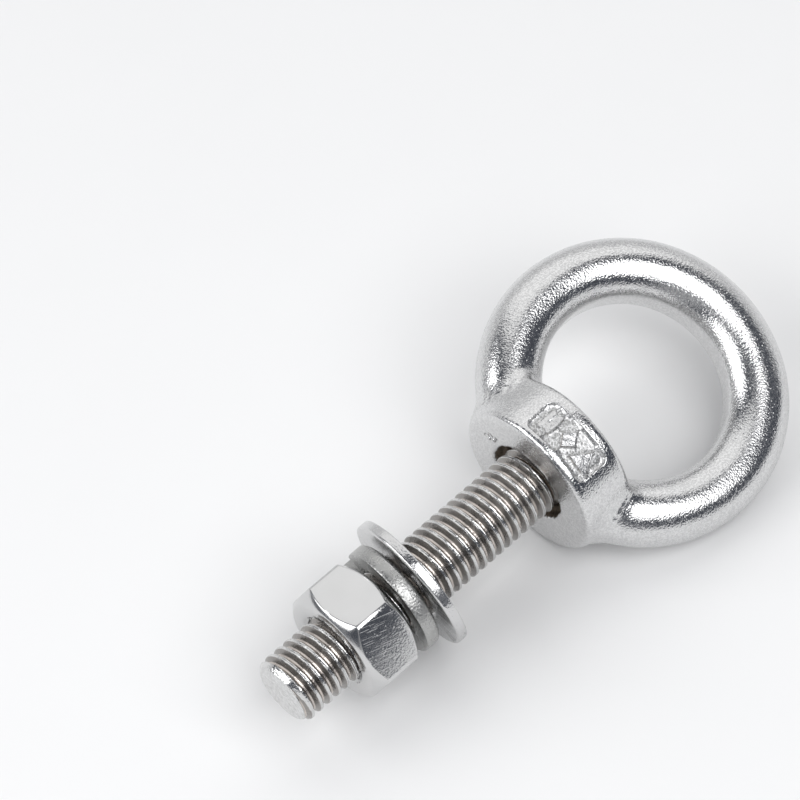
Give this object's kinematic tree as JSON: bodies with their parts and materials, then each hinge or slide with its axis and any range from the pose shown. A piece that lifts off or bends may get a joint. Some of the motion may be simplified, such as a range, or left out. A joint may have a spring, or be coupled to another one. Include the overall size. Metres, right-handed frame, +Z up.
{
  "type": "eye bolt",
  "caption": "Stainless lifting eye bolt: a cast ring and round collar on a threaded stud, with hexagon nut, spring lock washer and flat washer on the thread",
  "frame": {"origin": "on the surface that the bolt lies on, under the middle of its bounding box", "axes": "+X along the stud from its tip to the ring, +Z up from the surface, the ring plane rolled about X until one side of the ring rests on the surface beside the collar's rim"},
  "size_m": [0.0698, 0.0326, 0.0183],
  "materials": {
    "cast_steel": "investment cast stainless steel, tumbled and polished",
    "rolled_steel": "rolled thread, warm grey with bright crests",
    "nut_steel": "cold formed stainless steel, flats finely scratched, chamfers bright",
    "spring_washer_steel": "drawn square section, semi-bright",
    "flat_washer_steel": "punched sheet, bright, rough where the punch broke through"
  },
  "bodies": {
    "root": {"eye": "cast_steel", "threaded_stud": "rolled_steel"},
    "spring_washer_body": {"spring_washer": "spring_washer_steel"},
    "nut_body": {"hex_nut": "nut_steel"},
    "flat_washer_body": {"flat_washer": "flat_washer_steel"}
  },
  "joints": [
    {"name": "nut_travel", "type": "slide", "parent": "root", "child": "spring_washer_body", "axis": [1, 0, 0], "range_m": [-0.007, 0.013]},
    {"name": "nut_turn", "type": "hinge", "parent": "spring_washer_body", "child": "nut_body", "pos_m": [0, 0, 0.00915], "axis": [1, 0, 0], "range_deg": [-2016, 3744]},
    {"name": "flat_washer_slide", "type": "slide", "parent": "spring_washer_body", "child": "flat_washer_body", "axis": [1, 0, 0], "range_m": [0, 0.002]}
  ],
  "couplings": [
    {"joint": "nut_turn", "follows": "nut_travel", "rad_per_m": 5026.5}
  ]
}
